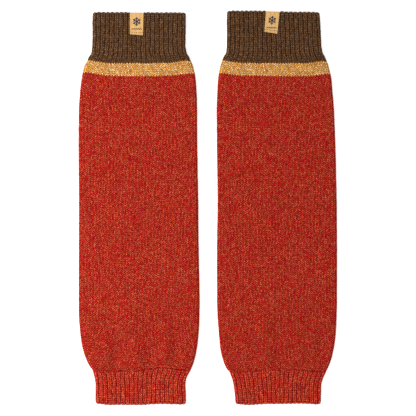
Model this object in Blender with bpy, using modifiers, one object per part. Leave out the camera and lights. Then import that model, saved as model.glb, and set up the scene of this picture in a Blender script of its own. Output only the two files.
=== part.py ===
"""A pair of knitted leg warmers, lying flat side by side.

Each one is a knitted tube pressed flat: a front panel lies over a back panel, and a fold joins them at
each side. From the top it has a ribbed cuff, a narrow stripe, a plain leg and a ribbed ankle cuff, and a
woven label is folded over its rim. +Y points to the top rims, +X to the right, and the back panels rest
on z = 0. Places along a leg warmer are given as "down", the distance below the left one's rim.
"""
import math

import bmesh
import bpy
import numpy as np

MM = 0.001

# Cloth
WALL = 2.2 * MM
HOLLOW = 1.8 * MM
SEAM = 0.3 * MM
LEG_CROWN = 2 * WALL + HOLLOW
CUFF_DROP = 0.6 * MM
CUFF_CROWN = LEG_CROWN - CUFF_DROP
FOLD_WIDTH = 3.1 * MM

# Ribs of both cuffs
RIBS = 21
RIB_RISE = 1.0 * MM
RIB_CREST = (0.32, 0.68)
SCALLOP = 0.5 * MM
SCALLOP_REACH = 4.0 * MM
LIP = 0.6 * MM
LIP_REACH = 1.2 * MM

# The leg puffs up above the tighter ankle cuff
PUFF = 0.9 * MM
PUFF_REACH = 6.0 * MM

# Label
LABEL_THICK = 1.0 * MM
LABEL_WIDTH = 14.6 * MM
LABEL_INSIDE = 8.0 * MM
LABEL_TURN = 0.9 * MM
LABEL_TURN_STEPS = 6
LABEL_COLUMNS = 5

# Where the pair lies
TOP = 208.84 * MM
ACROSS = {"left": -73.9 * MM, "right": 74.1 * MM}

# Half widths from the centre line, in mm: down, to the left, to the right
OUTLINE = {
    "left": (
        (-2.0, 48.6, 49.3), (3.0, 49.0, 49.9), (34.0, 49.5, 49.9), (40.3, 50.3, 50.7),
        (46.8, 53.1, 53.7), (53.2, 56.6, 57.0), (59.6, 58.6, 58.8), (72.4, 61.1, 60.7),
        (85.3, 62.6, 61.8), (104.5, 63.8, 62.4), (137.0, 64.2, 62.7), (201.0, 63.9, 63.5),
        (252.0, 63.9, 64.0), (310.0, 64.2, 65.1), (329.2, 63.7, 64.6), (348.5, 61.6, 63.4),
        (361.3, 59.1, 61.6), (374.2, 54.6, 58.4), (380.6, 51.2, 55.8), (387.0, 48.3, 52.4),
        (393.4, 46.5, 50.2), (399.9, 45.9, 49.6), (412.0, 45.9, 50.1), (422.0, 45.5, 50.0),
    ),
    "right": (
        (-2.0, 53.0, 44.5), (3.0, 53.2, 45.6), (34.0, 53.4, 47.3), (40.3, 54.0, 48.1),
        (46.8, 56.8, 50.8), (53.2, 59.8, 53.9), (59.6, 61.2, 55.8), (72.4, 63.0, 58.3),
        (85.3, 63.8, 59.4), (104.5, 64.6, 60.8), (137.0, 64.4, 62.1), (201.0, 63.5, 63.6),
        (252.0, 63.9, 64.0), (310.0, 64.0, 63.8), (329.2, 63.3, 63.5), (348.5, 61.8, 62.2),
        (361.3, 60.2, 60.1), (374.2, 56.7, 56.5), (380.6, 53.8, 53.8), (387.0, 49.8, 50.9),
        (393.4, 47.3, 48.3), (399.9, 46.0, 46.9), (412.0, 44.6, 46.8), (422.0, 44.2, 46.6),
    ),
}

# Edges of the zones, in mm down: at the left fold, left quarter, middle, right quarter, right fold
EDGES = {
    "left": {
        "rim": (0.1, 0.1, 0.3, 0.4, 0.5),
        "cuff_to_stripe": (51.6, 53.8, 54.1, 53.8, 52.0),
        "stripe_to_leg": (64.3, 67.4, 68.2, 67.6, 65.4),
        "leg_to_ankle": (383.6, 383.1, 382.0, 380.0, 382.2),
        "hem": (419.0, 420.0, 420.3, 419.7, 419.2),
    },
    "right": {
        "rim": (-1.4, -1.4, -0.9, -0.3, -0.1),
        "cuff_to_stripe": (51.7, 53.4, 53.9, 54.2, 52.3),
        "stripe_to_leg": (64.9, 67.3, 67.9, 67.8, 65.6),
        "leg_to_ankle": (384.2, 383.4, 380.4, 382.1, 384.0),
        "hem": (419.8, 419.9, 419.2, 418.9, 419.3),
    },
}

# Soft folds of the front, in mm: start across, start down, end across, end down, half width, height
FOLDS = {
    "left": (
        (-28.0, 322.0, -13.0, 372.0, 6.0, 1.2),
        (-5.0, 322.0, 2.5, 376.0, 6.0, -0.8),
        (-29.0, 371.0, -26.0, 376.0, 6.0, -0.7),
        (20.0, 352.0, 22.0, 366.0, 7.0, 1.0),
        (36.0, 359.0, 35.0, 374.0, 5.5, -0.8),
        (-25.0, 80.0, -25.0, 86.0, 7.0, -0.5),
        (19.0, 79.0, 19.0, 87.0, 7.0, -0.5),
        (-50.0, 244.0, -50.0, 262.0, 10.0, 0.6),
    ),
    "right": (
        (0.0, 352.0, 0.0, 378.0, 9.0, -0.8),
        (-34.0, 340.0, -30.0, 366.0, 7.0, 1.0),
        (22.0, 346.0, 25.0, 368.0, 7.0, 0.8),
        (42.0, 362.0, 42.0, 370.0, 6.0, -0.8),
        (-18.0, 79.0, -18.0, 86.0, 7.0, -0.5),
        (24.0, 81.0, 24.0, 88.0, 7.0, -0.5),
    ),
}

# Labels, in mm: centre across at the rim, length down the front, and mm across for each mm down
LABELS = {"left": (-2.2, 23.2, 0.035), "right": (-4.6, 22.6, 0.09)}

# The folds of each leg warmer: -1 at its left, 1 at its right
FOLD_SIDES = {
    "left": (("outer_fold", -1.0), ("inner_fold", 1.0)),
    "right": (("inner_fold", -1.0), ("outer_fold", 1.0)),
}

# Zones, top to bottom: upper edge, lower edge, and whether the zone is ribbed
ZONES = {
    "top_cuff": ("rim", "cuff_to_stripe", True),
    "stripe": ("cuff_to_stripe", "stripe_to_leg", False),
    "leg": ("stripe_to_leg", "leg_to_ankle", False),
    "ankle_cuff": ("leg_to_ankle", "hem", True),
}
# Rows of points down each zone, as shares of its length
ROWS = {
    "top_cuff": (0.0, 0.023, 0.08, 0.35, 0.64, 0.77, 0.86, 0.93, 1.0),
    "stripe": (0.0, 0.35, 0.7, 1.0),
    "leg": (0.0, 0.02, 0.04, 0.07, 0.12, 0.2, 0.32, 0.44, 0.55, 0.65, 0.74, 0.79, 0.82, 0.85,
            0.875, 0.895, 0.915, 0.93, 0.945, 0.96, 0.975, 0.99, 1.0),
    "ankle_cuff": (0.0, 0.12, 0.25, 0.4, 0.6, 0.9, 0.97, 1.0),
}
FOLD_STEPS = 3
FLAT_STEPS = 26
COARSE_STEPS = 16

# Linear colours and roughness
FINISHES = {
    "top_cuff": ((0.093, 0.044, 0.020), 0.95),
    "stripe": ((0.658, 0.332, 0.095), 0.93),
    "leg": ((0.418, 0.032, 0.018), 0.95),
    "ankle_cuff": ((0.418, 0.034, 0.020), 0.95),
    "label": ((0.831, 0.515, 0.188), 0.7),
}


def smooth(at, places, values):
    """Values between those of a table, on a cubic that never overshoots its rows."""
    step = np.diff(places)
    slope = np.diff(values) / step
    tangent = np.zeros(len(places))
    same_way = slope[:-1] * slope[1:] > 0
    total = np.where(same_way, slope[:-1] + slope[1:], 1.0)
    tangent[1:-1] = np.where(same_way, 2 * slope[:-1] * slope[1:] / total, 0.0)
    row = np.clip(np.searchsorted(places, at, side="right") - 1, 0, len(step) - 1)
    share = (at - places[row]) / step[row]
    rest = 1 - share
    return (
        values[row] * rest**2 * (1 + 2 * share)
        + values[row + 1] * share**2 * (3 - 2 * share)
        + step[row] * share * rest * (tangent[row] * rest - tangent[row + 1] * share)
    )


def half_widths(side, down):
    """How far the outline is from the centre line, to the left and to the right."""
    table = np.array(OUTLINE[side]) * MM
    return smooth(down, table[:, 0], table[:, 1]), smooth(down, table[:, 0], table[:, 2])


def edge(side, name, across):
    """A zone's edge: how far down it is, at -1 at the left fold to 1 at the right fold."""
    places = np.linspace(-1.0, 1.0, len(EDGES[side][name]))
    return smooth(across, places, np.array(EDGES[side][name]) * MM)


def zone_span(side, zone, across):
    """Where a zone begins and ends, with half a seam's gap left at each edge that meets another zone."""
    upper_name, lower_name, _ = ZONES[zone]
    upper = edge(side, upper_name, across) + (0.0 if upper_name == "rim" else SEAM / 2)
    lower = edge(side, lower_name, across) - (0.0 if lower_name == "hem" else SEAM / 2)
    return upper, lower


def folds(side, x, down):
    """Height of the soft folds: each is a bell-shaped ridge or trough along a straight line."""
    height = np.zeros_like(x)
    for start_x, start_down, end_x, end_down, half_width, rise in np.array(FOLDS[side]) * MM:
        run_x, run_down = end_x - start_x, end_down - start_down
        along = ((x - start_x) * run_x + (down - start_down) * run_down) / (run_x**2 + run_down**2)
        along = np.clip(along, 0.0, 1.0)
        away = np.hypot(x - start_x - along * run_x, down - start_down - along * run_down)
        height += rise * np.exp(-((away / half_width) ** 2))
    return height


def arch(place, left, right, fold):
    """Half of a flattened tube's section: x, share of the rise, and the outward direction.

    Place 0 to 1 climbs the left fold, 1 to 2 crosses the flat and 2 to 3 goes down the right fold.
    """
    climb = np.clip(place, 0.0, 1.0) * math.pi / 2
    descent = np.clip(place - 2.0, 0.0, 1.0) * math.pi / 2
    across = np.clip(place - 1.0, 0.0, 1.0)
    flat = right - left - 2 * fold
    x = left + fold * (1 - np.cos(climb)) + across * flat + fold * np.sin(descent)
    upward = np.minimum(np.sin(climb), np.cos(descent))
    sideways = np.sin(descent) - np.cos(climb)
    return x, upward, sideways


def rib_columns():
    """Shares along the section of the ribs' grooves and crest edges, and the height share of each."""
    shares, heights = [], []
    for rib in range(RIBS):
        shares += [rib / RIBS, (rib + RIB_CREST[0]) / RIBS, (rib + RIB_CREST[1]) / RIBS]
        heights += [0.0, 1.0, 1.0]
    return np.array(shares + [1.0]), np.array(heights + [0.0])


def plain_columns(steps):
    """Places along the section for plain cloth, closer together on the two folds."""
    fold = np.linspace(0.0, 1.0, FOLD_STEPS + 1)
    return np.concatenate([fold, 1 + np.linspace(0, 1, steps + 1)[1:-1], 2 + fold])


def evenly_on_arch(shares, width, rise):
    """Places for shares of the arch's length, so that ribs keep their pitch round the folds."""
    fold_run = (FOLD_WIDTH + rise) * math.pi / 4
    flat_run = width - 2 * FOLD_WIDTH
    run = shares * (flat_run + 2 * fold_run)
    return (
        np.clip(run / fold_run, 0, 1)
        + np.clip((run - fold_run) / flat_run, 0, 1)
        + np.clip((run - fold_run - flat_run) / fold_run, 0, 1)
    )


def cloth_layer(side, zone, face, layer, columns, rows, ribs=None):
    """Points of one side of a panel's wall: rows down the zone, columns round the section.

    Columns are places on the arch, or with ribs shares of its length and the ribs' height there. The
    inside lies flat on the hollow, and rises with the ridges of the front but not with its troughs.
    """
    upper_name, lower_name, ribbed = ZONES[zone]
    crown = CUFF_CROWN if ribbed else LEG_CROWN
    foot, top = (WALL, 0.0) if face == "back" else (WALL + HOLLOW, crown)
    inside = layer == "inside"
    rows = np.array(rows)[:, None]
    place = np.broadcast_to(columns, (len(rows), len(columns)))
    if ribs is not None:
        on_middle = np.zeros_like(rows)
        down = (1 - rows) * edge(side, upper_name, on_middle) + rows * edge(side, lower_name, on_middle)
        place = evenly_on_arch(columns, sum(half_widths(side, down)), crown - foot)
    across = np.clip(place - 1, 0, 1) * 2 - 1
    upper, lower = zone_span(side, zone, across)
    down = upper + (lower - upper) * rows
    left, right = half_widths(side, down)
    inset = WALL if inside else 0.0
    x, upward, sideways = arch(place, inset - left, right - inset, FOLD_WIDTH)
    z = foot + (0.0 if inside else top - foot) * upward
    if face == "front":
        relief = folds(side, x, down)
        if zone == "leg":
            gap = (lower - down) / PUFF_REACH
            relief += PUFF * gap * np.exp(1 - gap)
        z += (np.maximum(relief, 0.0) if inside else relief) * upward**2
    if ribs is not None:
        to_rim = down - upper if upper_name == "rim" else lower - down
        lip = LIP * np.clip(1 - to_rim / LIP_REACH, 0, 1)
        rise = RIB_RISE * ribs - lip
        x += sideways * rise
        z += upward * rise
        scallop = SCALLOP * ribs * np.clip(1 - to_rim / SCALLOP_REACH, 0, 1)
        if upper_name == "rim":
            beside_label = np.abs(x - LABELS[side][0] * MM) / LABEL_WIDTH
            down = down - scallop * np.clip(2 * beside_label - 1, 0, 1)
        else:
            down = down + scallop
    return np.stack([ACROSS[side] + x, TOP - down, z], axis=-1), place[0]


def grid_faces(index):
    """Quads between the rows and columns of a grid of point numbers."""
    corners = (index[:-1, :-1], index[:-1, 1:], index[1:, 1:], index[1:, :-1])
    return np.stack(corners, axis=-1).reshape(-1, 4).tolist()


def zip_faces(one, other, one_places, other_places):
    """Triangles between two lines of points that run side by side with unlike spacing."""
    faces, i, j = [], 0, 0
    while i < len(one) - 1 or j < len(other) - 1:
        one_is_next = i < len(one) - 1 and (
            j == len(other) - 1 or one_places[i + 1] <= other_places[j + 1]
        )
        if one_is_next:
            faces.append((one[i], one[i + 1], other[j]))
            i += 1
        else:
            faces.append((one[i], other[j + 1], other[j]))
            j += 1
    return faces


def mesh_object(name, points, faces, finish, collection):
    """A closed mesh with its faces pointing out, in its own Principled material."""
    shape = bmesh.new()
    corners = [shape.verts.new(point) for point in points]
    for face in faces:
        shape.faces.new([corners[number] for number in face])
    bmesh.ops.recalc_face_normals(shape, faces=shape.faces)
    mesh = bpy.data.meshes.new(name)
    shape.to_mesh(mesh)
    shape.free()
    colour, roughness = FINISHES[finish]
    material = bpy.data.materials.new(name)
    material.use_nodes = True
    shader = material.node_tree.nodes["Principled BSDF"]
    shader.inputs["Base Color"].default_value = (*colour, 1.0)
    shader.inputs["Roughness"].default_value = roughness
    shader.inputs["Metallic"].default_value = 0.0
    mesh.materials.append(material)
    piece = bpy.data.objects.new(name, mesh)
    collection.objects.link(piece)
    return piece


def make_panel(side, zone, face, collection):
    """One panel of a zone: its outer and inner surfaces, joined along all four edges."""
    shares = np.array(ROWS[zone])
    coarse = plain_columns(COARSE_STEPS)
    if face == "back":
        outer, outer_places = cloth_layer(side, zone, face, "outside", coarse, shares)
    elif ZONES[zone][2]:
        rib_shares, ribs = rib_columns()
        outer, outer_places = cloth_layer(side, zone, face, "outside", rib_shares, shares, ribs)
    else:
        outer, outer_places = cloth_layer(side, zone, face, "outside", plain_columns(FLAT_STEPS), shares)
    inner_shares = np.append(shares[:-1:2], shares[-1])
    inner, inner_places = cloth_layer(side, zone, face, "inside", coarse, inner_shares)
    outer_index = np.arange(outer[..., 0].size).reshape(outer.shape[:2])
    inner_index = outer_index.size + np.arange(inner[..., 0].size).reshape(inner.shape[:2])
    faces = grid_faces(outer_index) + grid_faces(inner_index)
    for row in (0, -1):
        faces += zip_faces(outer_index[row], inner_index[row], outer_places, inner_places)
    for column in (0, -1):
        faces += zip_faces(outer_index[:, column], inner_index[:, column], shares, inner_shares)
    points = np.concatenate([outer.reshape(-1, 3), inner.reshape(-1, 3)])
    return mesh_object(f"{side}_{zone}_{face}", points, faces, zone, collection)


def make_fold(side, zone, name, fold_side, collection):
    """The turn of the cloth at one side of a zone, a strip that fills the wall between the panels."""
    upper, lower = zone_span(side, zone, np.array([fold_side]))
    down = upper + (lower - upper) * np.array(ROWS[zone])
    half_width = half_widths(side, down)[0 if fold_side < 0 else 1]
    bottom, top = WALL + SEAM, WALL + HOLLOW - SEAM
    depth = np.array([0.0, 0.0, WALL, WALL])[None, :]
    x = ACROSS[side] + fold_side * (half_width[:, None] - depth)
    y = np.broadcast_to(TOP - down[:, None], x.shape)
    z = np.broadcast_to(np.array([bottom, top, top, bottom]), x.shape)
    points = np.stack([x, y, z], axis=-1)
    index = np.arange(points[..., 0].size).reshape(points.shape[:2])
    faces = grid_faces(np.append(index, index[:, :1], axis=1)) + [index[0].tolist(), index[-1].tolist()]
    return mesh_object(f"{side}_{zone}_{name}", points.reshape(-1, 3), faces, zone, collection)


def make_label(side, collection):
    """A woven tape from inside the cuff, over the rim and down the front, thickened outwards."""
    centre, length, lean = LABELS[side]
    centre, length = centre * MM, length * MM
    under = WALL + HOLLOW - SEAM
    over = CUFF_CROWN + RIB_RISE + SEAM
    middle = (over + under) / 2
    turn = np.linspace(-math.pi / 2, math.pi / 2, LABEL_TURN_STEPS + 1)
    down = np.concatenate([[LABEL_INSIDE], -LABEL_TURN * np.cos(turn), [length / 2, length]])
    z = np.concatenate([[under], middle + (over - middle) * np.sin(turn), [over, over]])
    across = np.linspace(-LABEL_WIDTH / 2, LABEL_WIDTH / 2, LABEL_COLUMNS)
    on_front = (np.arange(len(down)) >= len(down) - 2)[:, None]
    half_left, half_right = half_widths(side, np.array([0.0]))
    rim = edge(side, "rim", (centre + across) / ((half_left + half_right) / 2))
    drop = rim[None, :] + down[:, None] + on_front * lean * across[None, :]
    x = ACROSS[side] + centre + across[None, :] - lean * np.maximum(down, 0)[:, None]
    points = np.stack([x, TOP - drop, np.broadcast_to(z[:, None], x.shape)], axis=-1)
    index = np.arange(points[..., 0].size).reshape(points.shape[:2])
    label = mesh_object(f"{side}_label", points.reshape(-1, 3), grid_faces(index), "label", collection)
    thickness = label.modifiers.new("thickness", "SOLIDIFY")
    thickness.thickness = LABEL_THICK
    thickness.offset = 1.0
    thickness.use_even_offset = True
    return label


def main():
    for old in list(bpy.data.objects):
        bpy.data.objects.remove(old, do_unlink=True)
    collection = bpy.data.collections.new("leg_warmers")
    bpy.context.scene.collection.children.link(collection)
    for side in ACROSS:
        for zone in ZONES:
            for face in ("front", "back"):
                make_panel(side, zone, face, collection)
            for name, fold_side in FOLD_SIDES[side]:
                make_fold(side, zone, name, fold_side, collection)
        make_label(side, collection)


main()
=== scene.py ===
"""A pair of knitted leg warmers lying flat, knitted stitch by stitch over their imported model.

Each zone of a leg warmer is one closed tube of cloth: a grid with four columns to a stitch and two or
three rows to a course, raised into the legs of the stitches. Places along a leg warmer are given as
"down", the distance below the left one's rim, and columns are counted round the tube from the left fold.
"""
import math

import bpy
import numpy as np
from bpy.props import FloatProperty, FloatVectorProperty, IntProperty, PointerProperty
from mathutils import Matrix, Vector


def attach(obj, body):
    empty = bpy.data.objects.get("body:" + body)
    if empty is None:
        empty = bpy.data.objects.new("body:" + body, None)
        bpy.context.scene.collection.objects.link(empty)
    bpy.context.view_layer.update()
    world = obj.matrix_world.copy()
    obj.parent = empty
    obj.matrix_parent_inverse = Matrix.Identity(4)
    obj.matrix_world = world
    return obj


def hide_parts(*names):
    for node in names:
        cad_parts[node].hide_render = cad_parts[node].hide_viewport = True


bl_info = {
    "name": "Knitted leg warmers",
    "version": (1, 0, 0),
    "blender": (4, 5, 0),
    "location": "3D View > Sidebar > Leg warmers",
    "description": "Knits a pair of leg warmers with ribbed cuffs, a stripe and a woven label on each",
    "category": "Add Mesh",
}

MM = 0.001
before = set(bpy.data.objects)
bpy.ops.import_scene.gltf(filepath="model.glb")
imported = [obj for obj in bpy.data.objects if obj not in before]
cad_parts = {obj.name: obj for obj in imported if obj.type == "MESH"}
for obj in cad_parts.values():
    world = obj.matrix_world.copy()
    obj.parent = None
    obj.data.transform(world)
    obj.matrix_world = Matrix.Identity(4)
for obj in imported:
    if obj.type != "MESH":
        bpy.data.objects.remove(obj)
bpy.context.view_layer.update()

SIDES = ("left", "right")

# Stitches: wales round the tube, columns of the grid to a wale, and height of a course
WALES = 84
COLUMNS_A_WALE = 4
COLUMNS = WALES * COLUMNS_A_WALE
FRONT_COLUMNS = COLUMNS // 2
COURSE = 2.23 * MM

# Where the pair lies: the left rim's distance from the pair's middle, and the centre lines
TOP = 208.84 * MM
ACROSS = {"left": -73.9 * MM, "right": 74.1 * MM}

# Half widths from the centre line, in mm: down, to the left, to the right
OUTLINE = {
    "left": (
        (-2.0, 48.4, 49.3), (3.0, 48.8, 49.9), (34.0, 49.2, 49.5), (40.3, 50.0, 50.3),
        (44.0, 50.6, 50.9), (45.5, 51.4, 51.8), (47.3, 53.0, 53.4), (50.5, 54.3, 54.5),
        (53.2, 55.8, 56.0), (56.5, 57.5, 57.5), (59.6, 58.8, 58.4), (72.4, 61.3, 60.7),
        (85.3, 62.8, 61.7), (104.5, 64.0, 62.3), (137.0, 64.4, 62.4), (201.0, 64.0, 63.4),
        (252.0, 64.0, 63.9), (310.0, 64.2, 64.9), (329.2, 63.7, 64.6), (348.5, 61.9, 63.4),
        (361.3, 59.5, 61.7), (374.2, 54.8, 58.7), (379.0, 52.1, 56.9), (381.2, 50.4, 55.8),
        (383.3, 49.0, 54.8), (387.0, 48.1, 52.7),
        (393.4, 46.4, 50.0), (399.9, 45.8, 49.4), (412.0, 45.9, 50.0), (422.0, 45.6, 50.0),
    ),
    "right": (
        (-2.0, 53.0, 44.2), (3.0, 53.2, 45.1), (34.0, 53.3, 46.8), (40.3, 53.9, 47.7),
        (44.0, 54.6, 48.3), (45.5, 55.7, 49.4), (47.3, 56.9, 50.6), (50.5, 58.2, 51.9),
        (53.2, 59.4, 53.1), (56.5, 60.3, 54.6), (59.6, 61.1, 55.3), (72.4, 63.2, 58.0),
        (85.3, 63.9, 59.1), (104.5, 64.6, 60.7), (137.0, 64.4, 62.0), (201.0, 63.6, 63.5),
        (252.0, 64.2, 63.9), (310.0, 64.2, 63.8), (329.2, 63.3, 63.3), (348.5, 61.8, 62.1),
        (361.3, 60.4, 60.1), (374.2, 57.0, 56.7), (380.6, 54.3, 54.0), (383.3, 52.1, 52.5),
        (385.2, 50.3, 51.6), (387.0, 49.8, 50.8),
        (393.4, 47.4, 48.0), (399.9, 46.0, 46.6), (412.0, 44.5, 46.3), (422.0, 44.1, 46.2),
    ),
}

# Edges of the zones, in mm down, at even steps from the left fold to the right one
EDGES = {
    "left": {
        "rim": (0.1, 0.1, 0.3, 0.4, 0.5),
        "cuff_to_stripe": (51.6, 53.9, 54.4, 54.5, 54.5, 54.5, 54.3, 53.6, 52.0),
        "stripe_to_leg": (64.3, 66.7, 67.9, 68.3, 68.4, 68.3, 67.9, 66.9, 65.4),
        "leg_to_ankle": (383.6, 383.1, 381.2, 378.6, 381.8),
        "hem": (419.0, 420.0, 419.8, 420.0, 420.0, 419.2, 418.9, 419.2, 419.5),
    },
    "right": {
        "rim": (-1.4, -1.4, -0.9, -0.3, -0.1),
        "cuff_to_stripe": (51.9, 53.9, 54.0, 54.4, 54.4, 54.5, 54.6, 54.2, 52.5),
        "stripe_to_leg": (65.0, 67.4, 67.7, 67.9, 68.3, 68.4, 68.4, 67.7, 65.8),
        "leg_to_ankle": (384.1, 383.0, 380.4, 381.5, 383.5),
        "hem": (419.4, 420.0, 419.4, 418.9, 418.9, 418.7, 418.5, 418.7, 419.4),
    },
}

# Soft folds of the front, in mm: start across, start down, end across, end down, half width, height
FOLDS = {
    "left": (
        (-19.0, 316.0, -10.0, 366.0, 8.0, 1.0),
        (-8.5, 326.0, 1.0, 374.0, 6.5, 1.7),
        (10.0, 340.0, 12.0, 371.0, 6.0, -1.3),
        (-37.0, 346.0, -35.5, 374.0, 5.5, 1.5),
        (-22.0, 359.0, -22.0, 373.0, 5.0, -1.0),
        (29.5, 340.0, 30.5, 372.0, 7.0, 2.0),
        (40.0, 350.0, 40.0, 372.0, 5.5, -1.2),
        (-52.0, 330.0, -44.0, 380.0, 6.0, 1.3),
        (-38.0, 380.0, -38.0, 416.0, 4.5, 1.2),
        (-33.0, 80.0, -33.0, 102.0, 7.0, 0.7),
        (-14.0, 76.0, -14.0, 92.0, 7.0, -0.8),
        (4.5, 74.0, 4.5, 92.0, 6.0, 0.6),
        (21.0, 76.0, 21.0, 94.0, 7.0, -0.8),
        (-50.0, 244.0, -50.0, 262.0, 10.0, 0.6),
        (-26.5, 362.0, -25.5, 378.0, 2.6, -0.7),
        (3.0, 366.0, 3.8, 378.0, 2.6, -0.6),
        (33.5, 364.0, 34.5, 378.0, 2.6, -0.6),
    ),
    "right": (
        (-13.0, 328.0, -11.0, 372.0, 8.0, 1.9),
        (3.0, 338.0, 3.0, 374.0, 7.0, -1.1),
        (-36.0, 340.0, -32.0, 366.0, 6.0, 0.6),
        (23.0, 342.0, 26.0, 368.0, 7.0, 1.2),
        (37.0, 344.0, 37.0, 368.0, 5.5, 1.1),
        (47.0, 346.0, 46.0, 370.0, 5.0, -1.0),
        (-18.0, 79.0, -18.0, 86.0, 7.0, -0.5),
        (24.0, 81.0, 24.0, 88.0, 7.0, -0.5),
    ),
}

# Labels, in mm: centre across at the rim, length down the front, mm across for each mm down, and slope
# of the lower edge
LABELS = {"left": (-2.1, 24.0, 0.015, 0.06), "right": (-4.8, 23.2, 0.093, 0.12)}

# How far the leg's end hangs over the ankle cuff, as a share, at even steps from fold to fold
OVERHANGS = {
    "left": (0.0, 0.1, 0.5, 0.35, 0.55, 0.95, 1.0, 0.9, 0.3),
    "right": (0.0, 0.3, 0.4, 0.25, 0.4, 0.5, 0.5, 0.5, 0.2),
}

# Zones: upper edge, lower edge, rows of the grid to a course, finish slot
ZONES = {
    "top_cuff": ("rim", "cuff_to_stripe", 3, "brown_rib"),
    "stripe": ("cuff_to_stripe", "stripe_to_leg", 3, "golden_stripe"),
    "leg": ("stripe_to_leg", "leg_to_ankle", 2, "red_knit"),
    "ankle_cuff": ("leg_to_ankle", "hem", 3, "red_rib"),
}
COURSES = {"top_cuff": 23, "stripe": 6, "leg": 141, "ankle_cuff": 16}
ALL_COURSES = sum(COURSES.values())
RIBBED = ("top_cuff", "ankle_cuff")
FREE_EDGES = ("rim", "hem")
INSIDE_ROWS = 4
WIDTHS_MEASURED = 40
PANEL_PARTS = ("front", "back", "outer_fold", "inner_fold")

# Yarn of each zone: share of its second colour, share of its third, and unevenness in tone
YARN_MIXES = {
    "top_cuff": (0.32, 0.3, 0.52),
    "stripe": (0.4, 0.3, 0.47),
    "leg": (0.29, 0.2, 0.42),
    "ankle_cuff": (0.31, 0.2, 0.45),
}

# Growth of the ribs away from an edge: their share at it, and what each course adds
RIB_GROWTH = {"cuff_to_stripe": (0.1, 0.28), "leg_to_ankle": (0.45, 0.4), "hem": (0.35, 0.5)}

# Height of the stitches, as places and heights: from the middle of a wale to its edge, in wales, and
# from the crest of a rib to the middle of its groove, in pairs of wales
PLAIN_PROFILE = ((0.0, 0.25, 0.5), (0.35, 1.0, 0.0))
RIB_PROFILE = ((0.0, 0.125, 0.25, 0.375, 0.5), (0.55, 0.9, 1.0, 0.5, 0.0))

# Share of the plain stitches, the ribs and the grooves that swells in the middle of each course
PLAIN_BULGE = 0.6
RIB_BULGE = 0.34
GROOVE_BULGE = 0.1

# Random fields of the cloth: number added to the seed, and courses and columns to a step
FIELDS = {
    "course drift": (11, 3, 12),
    "stitches": (23, 1, 4),
    "ripple": (37, 12, 28),
    "wale drift": (41, 3, 8),
    "overhang": (53, 4, 4),
    "ankle seam": (59, 4, 8),
    "crease": (61, 4, 12),
}

# Share by which those fields change the height of the stitches, the overhang and the crease
STITCH_UNEVENNESS = 0.28
OVERHANG_UNEVENNESS = 0.9
CREASE_UNEVENNESS = 0.5

# Reach of the soft forms at the ends, and the stretch beside a free edge where courses turn straight
HANG_REACH = 2.6 * MM
PUFF_REACH = 6.0 * MM
CREASE_REACH = 2.4 * MM
LIP_REACH = 1.6 * MM
SCALLOP_REACH = 4.0 * MM
LABEL_DIP_REACH = 4.0 * MM
SEAM_REACH = 2.0 * MM
STRAIGHT_REACH = 1.5 * COURSE

# Scallops: their mean, which is taken off them, and how far the back and the inside stay behind
SCALLOP_MEAN = 0.65
BACK_STEP = 0.5

# Crease: its share where nothing hangs over it, and its share on the inside
CREASE_LEAST = 0.25
CREASE_INSIDE = 0.7

# Where the cuff gives way to the label: margins at its sides and its end, and the ribs' loss of height
LABEL_MARGIN = 2.4 * MM
LABEL_END_MARGIN = 2.0 * MM
PRESSED_FLAT = 0.2

# Half width by which x is turned into a place along the top cuff's edges, for the label
CUFF_HALF_WIDTH = 50.0 * MM

# Label's grid: even columns and their share of its width, closer ones at each side, and rows as shares
# of the length inside and in front
TAPE_COLUMNS = 37
TAPE_EVEN_SHARE = 0.92
TAPE_SIDE_COLUMNS = 4
TAPE_INSIDE_ROWS = (1.0, 0.99, 0.96, *np.linspace(0.9, 0.1, 9))
TAPE_TURN_ROWS = 15
TAPE_FRONT_ROWS = (*np.linspace(0.0, 0.97, 60)[1:], 0.982, 0.991, 0.997, 1.0)

# Label's lie: share of the ribs' rise that it lies on, its gap under the cuff's wall, the trough along
# its seam and the lift of its lower edge, both as height and reach
TAPE_REST = 0.86
TAPE_GAP = 0.2 * MM
TAPE_TROUGH = (0.2 * MM, 0.6 * MM)
TAPE_LIFT = (0.25 * MM, 1.4 * MM)

# Label's rounding: reach at its sides and its ends, and the square of the share left at the very edge
TAPE_SIDE_ROUND = 0.35 * MM
TAPE_END_ROUND = 0.4 * MM
BLUNT = 0.06

# Sewing: stitches to a label, their share of the pitch, rings and corners to a stitch, how far its ends
# thin out, and its width and height in threads
SEWN = 7
SEWN_SHARE = 0.66
THREAD_RINGS = 9
THREAD_CORNERS = 8
THREAD_TAPER = 0.96
THREAD_WIDTH = 1.25
THREAD_HEIGHT = 0.8

# Label's motif: its threads, the flake's middle, arm, line, branch (start, length) and the branch's
# angle, and the zigzag's middle, step, reach to each side, line and share of the dark colour
MOTIF_THREAD = 0.25 * MM
FLAKE_DOWN = 8.6 * MM
FLAKE_REACH = 4.7 * MM
FLAKE_LINE = 0.52 * MM
FLAKE_BRANCH = (2.4 * MM, 1.5 * MM)
FLAKE_ANGLE = math.pi / 3
ZIGZAG_DOWN = 16.0 * MM
ZIGZAG_STEP = 1.0 * MM
ZIGZAG_REACH = 5.6 * MM
ZIGZAG_LINE = 0.55 * MM
ZIGZAG_STRENGTH = 0.85

# The legs set below are where yarn shows; the gaps around them take painted shade
# Plain stitches' finish, in wales: place of the legs from the wale's middle, their width, the gap
# between those of two courses, and the limits of their soft edge
PLAIN_LEG = 0.25
PLAIN_LEG_WIDTH = 0.25
PLAIN_LEG_GAP = 0.02
PLAIN_LEG_EDGE = (-0.05, 0.09)

# Ribs' finish, in wales: place of the legs from the crest, limits of their soft edge and of their fade
# at a course's ends, and half width, soft edge and strength of the grooves' bumps
RIB_LEG = 0.42
RIB_LEG_EDGE = (0.0, 0.12)
RIB_LEG_FADE = (0.1, 0.75)
GROOVE_BUMP_WIDTH = 0.24
GROOVE_BUMP_EDGE = (0.0, 0.2)
GROOVE_BUMP_STRENGTH = 0.35

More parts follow.
